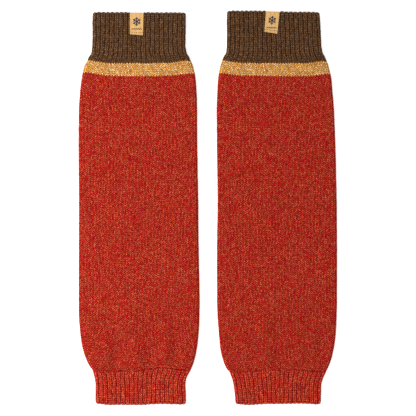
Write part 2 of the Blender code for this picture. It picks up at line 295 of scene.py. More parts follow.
# Closed patches of the grooves: steps of their noise to a course, its limits and their strength
PATCHES_A_COURSE = 0.3
PATCH_EDGE = (0.5, 0.75)
PATCH_STRENGTH = 0.5

# Power by which the yarn's height rises from its edges
YARN_ROUNDNESS = 0.6

# Marl: noise scales of the strands and the fibres, turns of the plies for each leg, each course and by
# chance, weights of the strands, the plies and a whole leg's draw in the choice of a colour, and the
# limits of that choice
STRAND_SCALE = 1100.0
FIBRE_SCALE = 4200.0
PLY_TURNS = (1.3, 0.9, 0.6)
STRAND_WEIGHT = 1.2
PLY_WEIGHT = 0.14
LEG_WEIGHT = 0.15
CHOICE_EDGE = (0.44, 0.56)

# Marl's tone, with the fibres' weight in it and its mean, which is taken off, and the plies' height
FIBRE_WEIGHT = 0.8
MEAN_TONE = 1.4
PLY_HEIGHT = 0.3

# Label's weave: pitch, noise scales of the slubs across and along it, and its tone with what the weave
# and the slubs add
WEAVE_PITCH = 0.5 * MM
SLUB_SCALES = (300.0, 1400.0)
TAPE_TONE = 0.86
WEAVE_TONE = 0.07
SLUB_TONE = 0.28

# Sewing thread: pitch and slant of its plies, and its tone with what the plies add
PLY_PITCH = 0.35 * MM
PLY_SLANT = 0.7
THREAD_TONE = 0.9
PLY_TONE = 0.14

# Relief of the finishes: strength and depth of each bump
STITCH_BUMP = (0.7, 0.35 * MM)
FIBRE_BUMP = (0.5, 0.15 * MM)
WEAVE_BUMP = (0.5, 0.08 * MM)
THREAD_BUMP = (0.5, 0.05 * MM)

# Stage: the floor's half width, its drop under the cloth, its grey and its own glow, the sky's strength,
# and each light's name, place, size and power
FLOOR_HALF_WIDTH = 2.0
FLOOR_DROP = 0.1 * MM
FLOOR_GREY = 0.93
FLOOR_GLOW = 0.55
SKY_STRENGTH = 0.46
LIGHTS = (
    ("key_light", (-0.74, 0.0, 0.62), 0.45, 8.2),
    ("fill_light", (0.9, -0.9, 1.7), 1.4, 10.0),
)

# Camera: sensor and lens in mm, the picture's width at the outline's height, its middle, and how near
# and far it sees
SENSOR = 36.0
LENS = 180.0
SHOWN_WIDTH = 445.1 * MM
OUTLINE_HEIGHT = 3.1 * MM
PICTURE_MIDDLE = (0.1 * MM, -0.56 * MM)
NEAREST, FURTHEST = 0.05, 20.0


def length_setting(name, description, millimetres):
    """A length that a user can change, with its default given in mm."""
    return FloatProperty(name=name, description=description, default=millimetres * MM, unit="LENGTH")


def share_setting(name, description, share):
    """A plain number that a user can change."""
    return FloatProperty(name=name, description=description, default=share)


def colour_setting(name, description, linear):
    """A linear colour that a user can change."""
    return FloatVectorProperty(name=name, description=description, default=linear, subtype="COLOR")


class KnitSizes(bpy.types.PropertyGroup):
    """Sizes of the cloth, the stitches and the labels."""

    wall: length_setting("Cloth thickness", "Wall of the knitted cloth", 2.2)
    hollow: length_setting("Hollow", "Height left between the front and the back", 1.8)
    fold_width: length_setting("Fold width", "Width in which a side fold turns upright", 3.1)
    inner_fold: length_setting("Inner fold width", "The same on the inside of the tube", 0.9)
    stitch_rise: length_setting("Stitch rise", "How far plain stitches stand out of their grooves", 0.6)
    rib_rise: length_setting("Rib rise", "How far ribs stand out of their grooves", 1.0)
    rib_drop: length_setting("Rib drop", "Depth of the ribs' grooves below the plain cloth's top", 0.6)
    chevron: share_setting("Chevron", "How far the legs of a stitch lean, in courses", 0.85)
    rim_scallop: length_setting("Rim scallop", "How far ribs reach past their grooves at the rim", 1.0)
    hem_scallop: length_setting("Hem scallop", "How far ribs reach past their grooves at the hem", 0.5)
    seam_waves: length_setting("Seam waves", "How far the leg's last course strays from straight", 0.7)
    corner: length_setting("Corner", "How far the rims turn in at the side folds", 1.4)
    lip: length_setting("Lip", "How far the rims turn in", 0.6)
    puff: length_setting("Puff", "How far the leg swells above the ankle cuff", 0.9)
    crease: length_setting("Crease", "Depth of the crease where the leg meets the ankle cuff", 2.2)
    overhang: length_setting("Overhang", "How far the leg's end hangs over the ankle cuff at most", 1.5)
    seam_dip: length_setting("Seam dip", "Depth of the dip where the top cuff meets the stripe", 1.1)
    outline_inset: length_setting("Outline inset", "How far plain grooves lie in from the outline", 0.1)
    label_dip: length_setting("Label dip", "How far the label pulls the rim in", 1.2)
    ripple: length_setting("Ripple", "Height of the slow unevenness of the laid cloth", 0.3)
    drift: length_setting("Drift", "How far courses and wales stray from straight", 0.4)
    tape_width: length_setting("Label width", "Width of the woven label", 14.6)
    tape_wall: length_setting("Label thickness", "Thickness of the woven label", 0.6)
    tape_inside: length_setting("Label inside", "Length of the label inside the cuff", 8.0)
    tape_turn: length_setting("Label turn", "How far the label stands past the rim", 0.5)
    tape_taper: share_setting("Label taper", "Share of the label's width lost down the front", 0.05)
    tape_waves: length_setting("Label waves", "Height of the ribs where they show through the label", 0.1)
    tape_seam: length_setting("Label seam", "Distance of the seam from the label's lower edge", 2.7)
    thread: length_setting("Sewing thread", "Thickness of the thread that sews the label on", 0.55)
    seed: IntProperty(name="Seed", description="Draws another unevenness of the cloth", default=7, min=0)


class YarnColours(bpy.types.PropertyGroup):
    """Linear colours of the yarns and the labels, and the painted shade of the stitches' gaps."""

    brown: colour_setting("Brown", "Main yarn of the top cuff", (0.152, 0.068, 0.024))
    brown_fleck: colour_setting("Brown fleck", "Lighter strands in the brown", (0.238, 0.132, 0.086))
    brown_dark: colour_setting("Dark brown", "Darker strands in the brown", (0.100, 0.037, 0.007))
    # Painted shade, put in the gaps between the brown stitches where shade falls in the knit
    brown_painted_shade: colour_setting("Brown shade", "Gaps between the brown stitches", (0.022, 0.009, 0.004))
    gold: colour_setting("Gold", "Main yarn of the stripe", (0.93, 0.455, 0.05))
    cream: colour_setting("Cream", "Pale strands in the stripe", (1.0, 0.86, 0.55))
    amber: colour_setting("Amber", "Deeper strands in the stripe", (0.71, 0.208, 0.008))
    # Painted shade, put in the gaps between the golden stitches where shade falls in the knit
    gold_painted_shade: colour_setting("Gold shade", "Gaps between the golden stitches", (0.36, 0.12, 0.015))
    red: colour_setting("Red", "Main yarn of the leg and the ankle cuff", (0.63, 0.008, 0.017))
    orange: colour_setting("Orange", "Bright strands in the red", (0.735, 0.168, 0.072))
    olive: colour_setting("Olive", "Dull strands in the red", (0.53, 0.052, 0.001))
    # Painted shade, put in the gaps between the red stitches where shade falls in the knit
    red_painted_shade: colour_setting("Red shade", "Gaps between the red stitches", (0.14, 0.003, 0.003))
    tape: colour_setting("Label", "Woven ground of the label", (0.73, 0.42, 0.145))
    tape_ink: colour_setting("Label motif", "Dark threads of the label's snowflake", (0.03, 0.022, 0.03))
    sewing: colour_setting("Sewing thread", "Thread that sews the label on", (0.14, 0.05, 0.015))


def smooth(at, places, values):
    """Values between a table's rows: a cubic through them whose slope at a row is the harmonic mean of
    the slopes beside it, or level where these differ in sign, so that it never overshoots."""
    step = np.diff(places)
    slope = np.diff(values) / step
    tangent = np.zeros(len(places))
    same_way = slope[:-1] * slope[1:] > 0
    total = np.where(same_way, slope[:-1] + slope[1:], 1.0)
    tangent[1:-1] = np.where(same_way, 2 * slope[:-1] * slope[1:] / total, 0.0)
    row = np.clip(np.searchsorted(places, at, side="right") - 1, 0, len(step) - 1)
    share = (at - places[row]) / step[row]
    rest = 1 - share
    return (
        values[row] * rest**2 * (1 + 2 * share)
        + values[row + 1] * share**2 * (3 - 2 * share)
        + step[row] * share * rest * (tangent[row] * rest - tangent[row + 1] * share)
    )


def smooth_step(share):
    """3s^2 - 2s^3 of a share, kept from 0 to 1."""
    share = np.clip(share, 0, 1)
    return share**2 * (3 - 2 * share)


def bell(distance, reach):
    """A soft bump: e to the minus square of a distance over its reach."""
    return np.exp(-((distance / reach) ** 2))


def half_widths(side, down):
    """How far the outline is from the centre line, to the left and to the right."""
    table = np.array(OUTLINE[side]) * MM
    return smooth(down, table[:, 0], table[:, 1]), smooth(down, table[:, 0], table[:, 2])


def edge(side, name, across):
    """A zone's edge: how far down it is, at -1 at the left fold to 1 at the right fold."""
    places = np.linspace(-1.0, 1.0, len(EDGES[side][name]))
    return smooth(across, places, np.array(EDGES[side][name]) * MM)


def folds(side, x, down):
    """Height of the soft folds: each is a bell of the distance from a straight line."""
    height = np.zeros_like(x)
    for start_x, start_down, end_x, end_down, half_width, rise in np.array(FOLDS[side]) * MM:
        run_x, run_down = end_x - start_x, end_down - start_down
        along = ((x - start_x) * run_x + (down - start_down) * run_down) / (run_x**2 + run_down**2)
        along = np.clip(along, 0.0, 1.0)
        away = np.hypot(x - start_x - along * run_x, down - start_down - along * run_down)
        height += rise * bell(away, half_width)
    return height


def arch(place):
    """Half of a flattened tube's section: the folds' share of x, the flat's share of x, the share of the
    rise, and the outward direction's x.

    Place 0 to 1 climbs the left fold on a quarter ellipse, 1 to 2 crosses the flat, and 2 to 3 goes
    down the right fold.
    """
    climb = np.clip(place, 0.0, 1.0) * math.pi / 2
    descent = np.clip(place - 2.0, 0.0, 1.0) * math.pi / 2
    in_folds = 1 - np.cos(climb) + np.sin(descent)
    upward = np.minimum(np.sin(climb), np.cos(descent))
    return in_folds, np.clip(place - 1.0, 0.0, 1.0), upward, np.sin(descent) - np.cos(climb)


def fold_length(fold, rise):
    """Length of a fold's quarter ellipse, taken as a quarter circle's with its mean radius."""
    return (fold + rise) * math.pi / 4


def evenly_on_arch(shares, width, fold, rise):
    """Places for shares of the arch's length: the run is cut into fold, flat and fold."""
    fold_run = fold_length(fold, rise)
    flat_run = width - 2 * fold
    run = shares * (flat_run + 2 * fold_run)
    return (
        np.clip(run / fold_run, 0, 1)
        + np.clip((run - fold_run) / flat_run, 0, 1)
        + np.clip((run - fold_run - flat_run) / fold_run, 0, 1)
    )


def wander(seed, name, course, column):
    """A smooth random field from -1 to 1: random values on a coarse lattice that closes round the tube,
    blended between its points with weights 3s^2 - 2s^3."""
    own_seed, course_step, column_step = FIELDS[name]
    around = COLUMNS // column_step
    random = np.random.default_rng(seed + own_seed)
    lattice = random.uniform(-1, 1, (ALL_COURSES // course_step + 3, around))
    row = (course + 1) / course_step
    turn = column / column_step
    first_row, first_turn = np.floor(row).astype(int), np.floor(turn).astype(int)
    down_share, turn_share = smooth_step(row - first_row), smooth_step(turn - first_turn)
    upper, lower = (
        lattice[each, first_turn % around] * (1 - turn_share)
        + lattice[each, (first_turn + 1) % around] * turn_share
        for each in (first_row, first_row + 1)
    )
    return upper * (1 - down_share) + lower * down_share


def off_wale(column):
    """Distance of a column from the middle of its wale, in wales, from 0 to a half."""
    return np.abs((column / COLUMNS_A_WALE + 0.5) % 1 - 0.5)


def stitch_relief(course, column):
    """How far the stitches stand out, from 0 to 1, in plain knit and in one by one rib, and the round
    section of the ribs alone.

    Plain: each stitch has two legs, highest a quarter of a wale from its middle and lowest between
    wales, and every course bulges between its edges. Rib: every second wale stands out with its two
    legs, and the wale between sinks into a groove with a faint bump for each course.
    """
    in_rib = np.abs((column / (2 * COLUMNS_A_WALE)) % 1 - 0.5)
    bulge = np.sin(np.pi * (course % 1.0))
    plain = np.interp(off_wale(column), *PLAIN_PROFILE) * (1 - PLAIN_BULGE + PLAIN_BULGE * bulge)
    raised = np.interp(in_rib, *RIB_PROFILE)
    rib = raised * (1 - RIB_BULGE + RIB_BULGE * bulge) + GROOVE_BULGE * (1 - raised) * bulge
    return plain, rib, 1 - (2 * in_rib) ** 2


def rib_share(zone, course):
    """How far the rib has formed: none in plain knit, and in the cuffs more with each course away from
    a seam or the hem."""
    if zone not in RIBBED:
        return np.zeros_like(course)
    share = np.ones_like(course)
    for name, away in zip(ZONES[zone][:2], (course, COURSES[zone] - course)):
        start, growth = RIB_GROWTH.get(name, (1.0, 0.0))
        share = share * np.clip(start + growth * away, 0, 1)
    return share


def under_label(side, sizes, x, beyond):
    """1 under the label's width and 0 beside it, by its place at the rim, blended over a margin whose
    middle is a given way beyond the label's edges."""
    beside = np.abs(x - LABELS[side][0] * MM) - sizes.tape_width / 2
    return smooth_step(0.5 - (beside - beyond) / LABEL_MARGIN)


class TubeLayer:
    """One layer of a zone's tube, its outside or its inside, as a grid of courses by columns.

    The section is the arch for the front, and its mirror below the split for the back. Flatness is 1 on
    the front's flat, falls to 0 down its folds and is 0 on the back. It weighs the front's own forms.
    """

    def __init__(self, side, sizes, zone, course, first_course, inside):
        self.side, self.sizes, self.zone, self.inside = side, sizes, zone, inside
        self.column = np.arange(COLUMNS)[None, :]
        self.course = np.asarray(course, float)[:, None]
        self.share = self.course / COURSES[zone]
        self.all_courses = first_course + self.course + 0 * self.column
        self.front = self.column < FRONT_COLUMNS
        self.ribness = rib_share(zone, self.course)
        self.make_section()
        self.run_courses()
        self.lay_on_section()
        if not inside:
            self.raise_stitches()
        if zone in RIBBED:
            self.shape_free_edge()
        if zone == "ankle_cuff":
            self.sink_crease()

    def field(self, name):
        """A random field over the layer."""
        return wander(self.sizes.seed, name, self.all_courses, self.column)

    def field_round(self, name):
        """A random field round the tube, the same for every course."""
        return wander(self.sizes.seed, name, 0 * self.column, self.column)

    def make_section(self):
        """The section's rise and its spacing: the columns lie evenly on it at the middle's width."""
        sizes, ribness = self.sizes, self.ribness
        crown = 2 * sizes.wall + sizes.hollow
        self.split = crown / 2
        if self.inside:
            top, bottom = sizes.wall + sizes.hollow, sizes.wall
            self.inset, self.fold = sizes.wall, sizes.inner_fold
        else:
            top = crown - sizes.stitch_rise + ribness * (sizes.stitch_rise - sizes.rib_drop)
            bottom = sizes.stitch_rise + ribness * (sizes.rib_rise - sizes.stitch_rise)
            self.inset, self.fold = sizes.outline_inset * (1 - ribness), sizes.fold_width
        self.rise = np.where(self.front, top - self.split, bottom - self.split)
        upper, lower = (edge(self.side, name, 0 * self.share) for name in ZONES[self.zone][:2])
        down = (1 - self.share) * upper + self.share * lower
        width = sum(half_widths(self.side, down)) - 2 * self.inset
        half_share = np.where(self.front, self.column, COLUMNS - self.column) / FRONT_COLUMNS
        places = evenly_on_arch(half_share, width, self.fold, np.abs(self.rise))
        self.in_folds, self.on_flat, self.upward, self.sideways = arch(places)
        self.flatness = self.upward**2 * self.front

    def run_courses(self):
        """How far down each point lies: evenly from the zone's upper edge to its lower one, and outside
        in chevrons that dip at the middle of each wale. The leg's end hangs down over the ankle cuff
        by its table's share, and the seam between them is wavy."""
        sizes, side = self.sizes, self.side
        across = self.on_flat * 2 - 1
        self.upper, self.lower = (edge(side, name, across) for name in ZONES[self.zone][:2])
        wave = sizes.seam_waves * self.flatness * self.field_round("ankle seam")
        if self.zone == "leg":
            self.lower = self.lower + wave
        if self.zone == "ankle_cuff":
            self.upper = self.upper + wave
        self.down = self.upper + (self.lower - self.upper) * self.share
        self.to_lower = self.lower - self.down
        self.to_free_edge = np.full_like(self.down, np.inf)
        if self.zone == "top_cuff":
            self.to_free_edge = self.down - self.upper
        if self.zone == "ankle_cuff":
            self.to_free_edge = self.to_lower
        self.hang = smooth(across, np.linspace(-1, 1, len(OVERHANGS[side])), np.array(OVERHANGS[side]))
        if self.inside:
            return
        dip = 0.5 - 2 * off_wale(self.column)
        free = np.clip(self.to_free_edge / STRAIGHT_REACH, 0, 1)
        self.down = self.down + sizes.chevron * COURSE * dip * free
        self.down = self.down + sizes.drift * free * self.field("course drift")
        if self.zone == "leg":
            hanging = self.hang * self.flatness * (1 + OVERHANG_UNEVENNESS * self.field("overhang"))
            self.down = self.down + sizes.overhang * hanging * bell(self.to_lower, HANG_REACH)

    def lay_on_section(self):
        """Each point's x and height on the section, with the soft folds and the leg's swelling, which
        grows from its end and fades as g e^(1 - g). Under the label the rim is pressed down."""
        left, right = half_widths(self.side, self.down)
        flat = left + right - 2 * self.inset - 2 * self.fold
        self.x = self.inset - left + self.fold * self.in_folds + self.on_flat * flat
        self.z = self.split + self.rise * self.upward
        self.z = self.z + folds(self.side, self.x, self.down) * self.flatness
        if self.zone == "leg":
            gap = self.to_lower / PUFF_REACH
            self.z = self.z + self.sizes.puff * gap * np.exp(1 - gap) * self.flatness
        if self.zone == "top_cuff":
            self.pressed = under_label(self.side, self.sizes, self.x, 0.0) * self.flatness
            pressed_down = self.pressed * bell(self.to_free_edge, LABEL_DIP_REACH)
            self.down = self.down + self.sizes.label_dip * pressed_down

    def raise_stitches(self):
        """The stitches stand out along the outward direction, less under the label and at the rims'
        turned-in lips. The cloth ripples and its wales stray, and it dips above the stripe."""
        sizes, ribness = self.sizes, self.ribness
        plain, rib, self.crest = stitch_relief(self.course, self.column)
        self.uneven = 1 + STITCH_UNEVENNESS * self.field("stitches")
        height = plain * (1 - ribness) + rib * ribness
        stand = (sizes.stitch_rise * (1 - ribness) + sizes.rib_rise * ribness) * height * self.uneven
        if self.zone == "top_cuff":
            covered = under_label(self.side, sizes, self.x, LABEL_MARGIN / 2) * self.flatness
            before_end = (LABELS[self.side][1] * MM - self.to_free_edge) / LABEL_END_MARGIN
            stand = stand * (1 - PRESSED_FLAT * covered * smooth_step(before_end + 0.5))
        turned_in = np.clip(1 - self.to_free_edge / LIP_REACH, 0, 1)
        stand = stand - sizes.lip * (1 - np.sqrt(1 - turned_in**2))
        self.x = self.x + self.sideways * stand
        self.z = self.z + np.where(self.front, 1, -1) * self.upward * stand
        self.z = self.z + sizes.ripple * self.flatness * self.field("ripple")
        self.x = self.x + sizes.drift * self.upward * self.field("wale drift")
        if self.zone == "top_cuff":
            self.z = self.z - sizes.seam_dip * self.flatness * bell(self.lower - self.down, SEAM_REACH)

    def shape_free_edge(self):
        """The rim or the hem: scallops along the ribs' round sections, with the back and the inside a
        step behind them, turned in at the side folds, and straight under the label."""
        sizes = self.sizes
        scallop = sizes.rim_scallop if self.zone == "top_cuff" else sizes.hem_scallop
        behind = self.upward**2 * (1.0 if self.inside else ~self.front)
        reach = -scallop * (SCALLOP_MEAN + BACK_STEP * behind)
        if not self.inside:
            reach = reach + scallop * self.crest * self.uneven
        reach = reach - sizes.corner * (1 - self.upward)
        reach = reach * np.clip(1 - self.to_free_edge / SCALLOP_REACH, 0, 1)
        self.down = self.down + (reach if self.zone == "ankle_cuff" else -reach * (1 - self.pressed))

    def sink_crease(self):
        """The ankle cuff's upper end sinks into a crease, deepest where the leg hangs over it most."""
        deep = CREASE_LEAST + (1 - CREASE_LEAST) * self.hang
        deep = deep * (1 + CREASE_UNEVENNESS * self.field_round("crease"))
        sunk = self.sizes.crease * np.clip(deep, 0, 1) * self.flatness
        sunk = sunk * (CREASE_INSIDE if self.inside else 1.0)
        self.z = self.z - sunk * bell(self.down - self.upper, CREASE_REACH)

    def points(self):
        """The layer's points, none of them below the floor."""
        return np.stack([ACROSS[self.side] + self.x, TOP - self.down, np.maximum(self.z, 0.0)], axis=-1)


def closed_tube(side, sizes, zone):
    """A zone's cloth as one grid that closes round the tube and, over the inside, along it: its points,
    its rib share, its courses, and how many of its rows are outside."""
    courses = COURSES[zone]
    outer_rows = courses * ZONES[zone][2] + 1
    first_course = sum(COURSES[name] for name in list(ZONES)[: list(ZONES).index(zone)])
    layers = (
        TubeLayer(side, sizes, zone, np.linspace(0, courses, outer_rows), first_course, False),
        TubeLayer(side, sizes, zone, np.linspace(courses, 0, INSIDE_ROWS + 1), first_course, True),
    )
    points = np.concatenate([layer.points() for layer in layers])
    ribness = np.concatenate([layer.ribness + 0 * layer.column for layer in layers])
    return points, ribness, np.concatenate([layer.all_courses for layer in layers]), outer_rows


def quad_mesh(name, points, faces, face_map, map_name):
    """A smooth mesh of quads with a map that gives u and v for each corner of each face."""
    mesh = bpy.data.meshes.new(name)
    mesh.vertices.add(len(points))
    mesh.vertices.foreach_set("co", points.astype(np.float32).ravel())
    mesh.loops.add(faces.size)
    mesh.loops.foreach_set("vertex_index", faces.astype(np.int32).ravel())
    mesh.polygons.add(len(faces))
    mesh.polygons.foreach_set("loop_start", np.arange(0, faces.size, 4, dtype=np.int32))
    mesh.polygons.foreach_set("use_smooth", np.ones(len(faces), bool))
    mesh.update(calc_edges=True)
    layer = mesh.uv_layers.new(name=map_name)
    layer.data.foreach_set("uv", face_map.astype(np.float32).ravel())
    return mesh


def tube_mesh(name, points, ribness, course, border_rows):
    """A mesh over a grid that closes both ways, with the stitches' own map and the rib's share.

    The map has wales along u and courses along v. Edges along the border rows are sharp, so that the
    hidden ends of a zone don't bend its shading.
    """
    rows, columns = points.shape[:2]
    row, column = np.meshgrid(np.arange(rows), np.arange(columns), indexing="ij")
    corner_rows = np.stack([row, row + 1, row + 1, row], axis=-1).reshape(-1, 4)
    corner_columns = np.stack([column, column, column + 1, column + 1], axis=-1).reshape(-1, 4)
    faces = (corner_rows % rows) * columns + corner_columns % columns
    wales = corner_columns / COLUMNS_A_WALE
    face_map = np.stack([wales, course[corner_rows % rows, 0]], axis=-1)
    mesh = quad_mesh(name, points.reshape(-1, 3), faces, face_map, "stitches")
    ribbed = mesh.attributes.new("ribbed", "FLOAT", "POINT")
    ribbed.data.foreach_set("value", ribness.astype(np.float32).ravel())
    ends = np.zeros(len(mesh.edges) * 2, np.int32)
    mesh.edges.foreach_get("vertices", ends)
    end_rows = ends.reshape(-1, 2) // columns
    sharp = mesh.attributes.new("sharp_edge", "BOOLEAN", "EDGE")
    on_border = (end_rows[:, 0] == end_rows[:, 1]) & np.isin(end_rows[:, 0], border_rows)
    sharp.data.foreach_set("value", on_border)
    mesh.validate()
    return mesh


def add_piece(name, mesh, material):
    """An object at the origin with its material, riding on the leg warmers' only body."""
    piece = bpy.data.objects.new(name, mesh)
    bpy.context.scene.collection.objects.link(piece)
    mesh.materials.append(material)
    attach(piece, "root")
    return piece


def knit_zone(context, zone, material):
    """Knits one zone of both leg warmers in place of the model's panels, which it hides, and works out
    the zone's widths from its upper edge to its lower one."""
    sizes = context.scene.knit_sizes
    upper_name, lower_name, _, slot = ZONES[zone]
    for side in SIDES:
        points, ribness, course, outer_rows = closed_tube(side, sizes, zone)
        ends = ((0, upper_name), (outer_rows - 1, lower_name))
        borders = [row for row, name in ends if name not in FREE_EDGES]
        mesh = tube_mesh(f"{side}_{zone}_knit", points, ribness, course, borders)
        piece = add_piece(mesh.name, mesh, material)
        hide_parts(*(f"{side}_{zone}_{part}" for part in PANEL_PARTS))
        top, bottom = (float(edge(side, name, np.array([0.0]))[0]) for name in (upper_name, lower_name))
        widths = sum(half_widths(side, np.linspace(top, bottom, WIDTHS_MEASURED)))


def cuff_column(side, sizes, x, down):
    """The column of the top cuff's front that lies at x, by the even spacing on its arch."""
    left, right = half_widths(side, down)
    fold_run = fold_length(sizes.fold_width, sizes.wall + sizes.hollow / 2 - sizes.rib_drop)
    flat_run = left + right - 2 * sizes.fold_width
    return FRONT_COLUMNS * (fold_run + x + left - sizes.fold_width) / (flat_run + 2 * fold_run)


def cuff_front_height(side, sizes, x, down):
    """Height of the top cuff's front at its rib grooves, with its folds and ripple."""
    upper, lower = (edge(side, name, x / CUFF_HALF_WIDTH) for name in ("rim", "cuff_to_stripe"))
    courses = (down - upper) / (lower - upper) * COURSES["top_cuff"]
    ripple = wander(sizes.seed, "ripple", np.maximum(courses, 0), cuff_column(side, sizes, x, down))
    groove = 2 * sizes.wall + sizes.hollow - sizes.rib_drop
    return groove + folds(side, x, down) + sizes.ripple * ripple


def rounded(distance, reach):
    """Share of a tape's thickness at a distance from its edge: a quarter circle with a blunt end."""
    return np.sqrt(np.clip(1 - (1 - np.clip(distance / reach, 0, 1)) ** 2, BLUNT, 1))


def tape_grid(side, sizes):
    """The label's grid: its distance across, its run from the rim, which is less than 0 inside the cuff,
    how far it has bent over the rim, from -90 to 90 degrees, and the run at which its front ends."""
    even = TAPE_EVEN_SHARE / 2
    near_edge = even + (0.5 - even) * np.sin(np.linspace(0, math.pi / 2, TAPE_SIDE_COLUMNS + 1)[1:])
    shares = np.concatenate([-near_edge[::-1], np.linspace(-even, even, TAPE_COLUMNS), near_edge])
    across = shares[None, :] * sizes.tape_width
    _, length, _, slope = LABELS[side]
    ended = length * MM + slope * across - sizes.label_dip
    inside = sizes.tape_inside * np.array(TAPE_INSIDE_ROWS)[:, None]
    turn = np.linspace(-math.pi / 2, math.pi / 2, TAPE_TURN_ROWS)[:, None]
    front = np.array(TAPE_FRONT_ROWS)[:, None]
    run = np.concatenate([-inside - 0 * across, 0 * turn + 0 * across, front * ended])
    bend = np.concatenate([0 * inside - math.pi / 2, turn, 0 * front + math.pi / 2])
    return across, run, bend, ended


def label_layers(side, sizes):
    """The outer and the inner face of a label, and its own map: metres across, and down from the rim.

    The tape runs from inside the cuff along the underside of the front's wall, turns over the rim on
    half an ellipse and lies down the front on the ribs, which show through as low waves. A trough runs
    along the seam near its lower edge, which is lifted a little. It is as thick as the tape, rounded at
    its edges.
    """
    across, run, bend, ended = tape_grid(side, sizes)
    middle, length, lean, _ = LABELS[side]
    middle, length = middle * MM, length * MM
    rim = edge(side, "rim", (middle + across) / CUFF_HALF_WIDTH) + sizes.label_dip
    down = rim + np.abs(run) - sizes.tape_turn * np.cos(bend)
    on_front, to_end = run > 0, ended - np.abs(run)
    x = middle + across * (1 - sizes.tape_taper * np.clip(run / length, 0, 1)) - lean * run.clip(0)
    ribs = np.cos(math.pi * (cuff_column(side, sizes, x, down) / COLUMNS_A_WALE - 1))
    over = cuff_front_height(side, sizes, x, np.maximum(down, rim)) + TAPE_REST * sizes.rib_rise
    over = over + sizes.tape_wall / 2 + sizes.tape_waves * ribs
    over = over - TAPE_TROUGH[0] * bell(to_end - sizes.tape_seam, TAPE_TROUGH[1]) * on_front
    over = over + TAPE_LIFT[0] * bell(to_end, TAPE_LIFT[1]) * on_front
    under = sizes.wall + sizes.hollow - TAPE_GAP - sizes.tape_wall / 2
    z = (over + under) / 2 + (over - under) / 2 * np.sin(bend)
    lean_out, rise_out = np.cos(bend) / sizes.tape_turn, np.sin(bend) / ((over - under) / 2)
    size = np.hypot(lean_out, rise_out)
    normal = np.stack([0 * size, lean_out / size, rise_out / size], axis=-1)
    centre = np.stack([ACROSS[side] + x, TOP - down, z], axis=-1)
    thickness = sizes.tape_wall * rounded(sizes.tape_width / 2 - np.abs(across), TAPE_SIDE_ROUND)
    thickness = thickness * rounded(np.where(on_front, to_end, np.inf), TAPE_END_ROUND)
    thickness = thickness * rounded(np.where(run < 0, sizes.tape_inside + run, np.inf), TAPE_END_ROUND)
    half = thickness[..., None] / 2 * normal
    return centre + half, centre - half, np.stack([0 * run + across, run], axis=-1)


def strip_mesh(name, upper, lower, own_map, map_name):
    """A closed strip between two faces of like grids: a ring round both, and quads at each end."""
    ring = np.concatenate([upper, lower[:, ::-1]], axis=1)
    ring_map = np.concatenate([own_map, own_map[:, ::-1]], axis=1).reshape(-1, 2)
    rows, around = ring.shape[:2]
    number = np.arange(rows * around).reshape(rows, around)
    after = np.roll(number, -1, axis=1)
    sides = np.stack([number[:-1], number[1:], after[1:], after[:-1]], axis=-1).reshape(-1, 4)
    step = np.arange(around // 2 - 1)
    start = np.stack([step, step + 1, around - 2 - step, around - 1 - step], axis=-1)
    end = start[:, ::-1] + (rows - 1) * around
    faces = np.concatenate([sides, start, end])
    return quad_mesh(name, ring.reshape(-1, 3), faces, ring_map[faces], map_name)


def sewing_mesh(name, sizes, upper, own_map, ended):
    """Stitches along the label's seam: each a slim ellipsoid laid along the row of the tape's points."""
    on_front = np.flatnonzero(own_map[:, 0, 1] > 0)
    middle = own_map.shape[1] // 2
    to_end = ended - own_map[on_front, middle, 1]
    row = on_front[np.argmin(np.abs(to_end - sizes.tape_seam))]
    pitch = sizes.tape_width / SEWN
    starts = (np.arange(SEWN) - (SEWN - 1) / 2) * pitch
    along = np.linspace(-0.5, 0.5, THREAD_RINGS)
    place = starts[:, None] + along * SEWN_SHARE * pitch
    line = [np.interp(place, own_map[row, :, 0], upper[row, :, axis]) for axis in range(3)]
    radius = (sizes.thread / 2) * np.sqrt(1 - THREAD_TAPER * (2 * along) ** 2)
    turn = np.arange(THREAD_CORNERS) * 2 * math.pi / THREAD_CORNERS
    spoke = np.stack([0 * turn, THREAD_WIDTH * np.cos(turn), THREAD_HEIGHT * np.sin(turn)], axis=-1)
    rings = np.stack(line, axis=-1)[:, :, None, :] + radius[None, :, None, None] * spoke
    number = np.arange(rings.size // 3).reshape(rings.shape[:3])
    after = np.roll(number, -1, axis=2)
    quads = np.stack([after[:, :-1], after[:, 1:], number[:, 1:], number[:, :-1]], axis=-1).reshape(-1, 4)
    ends = np.concatenate([number[:, 0, ::-1], number[:, -1]])
    mesh = bpy.data.meshes.new(name)
    mesh.from_pydata(rings.reshape(-1, 3).tolist(), [], quads.tolist() + ends.tolist())
    mesh.polygons.foreach_set("use_smooth", np.ones(len(mesh.polygons), bool))
    return mesh


class Value:
    """A number that a node tree works out. Sums and products with it add Math nodes to the tree."""

    def __init__(self, tree, socket):
        self.tree = tree
        self.socket = socket

    def maths(self, operation, *others, clamp=False):
        """This value and others, which may be plain numbers, through a Math node."""
        return maths(self.tree, operation, self, *others, clamp=clamp)

    def __add__(self, other):
        return self.maths("ADD", other)

    def __sub__(self, other):
        return self.maths("SUBTRACT", other)

    def __rsub__(self, number):
        return maths(self.tree, "SUBTRACT", number, self)

    def __mul__(self, other):
        return self.maths("MULTIPLY", other)

    def ramp(self, low, high):
        """0 below low to 1 above high, straight between them."""
        inputs = {"Value": self, "From Min": low, "From Max": high}
        return Value(self.tree, add_node(self.tree, "MapRange", inputs).outputs["Result"])


def add_node(tree, kind, inputs, **settings):
    """A shader node of a kind, with its settings, and its inputs fed by name or place."""
    node = tree.nodes.new("ShaderNode" + kind)
    for name, setting in settings.items():
        setattr(node, name, setting)
    feed(tree, node, inputs)
    return node


def feed(tree, node, inputs):
    """Links worked-out inputs to a node and writes plain ones on it."""
    for name, value in inputs.items():
        value = value.socket if isinstance(value, Value) else value
        if isinstance(value, bpy.types.NodeSocket):
            tree.links.new(value, node.inputs[name])
        else:
            node.inputs[name].default_value = value


def maths(tree, operation, *values, clamp=False):
    """A Math node's result over values and plain numbers."""
    node = add_node(tree, "Math", dict(enumerate(values)), operation=operation, use_clamp=clamp)
    return Value(tree, node.outputs["Value"])


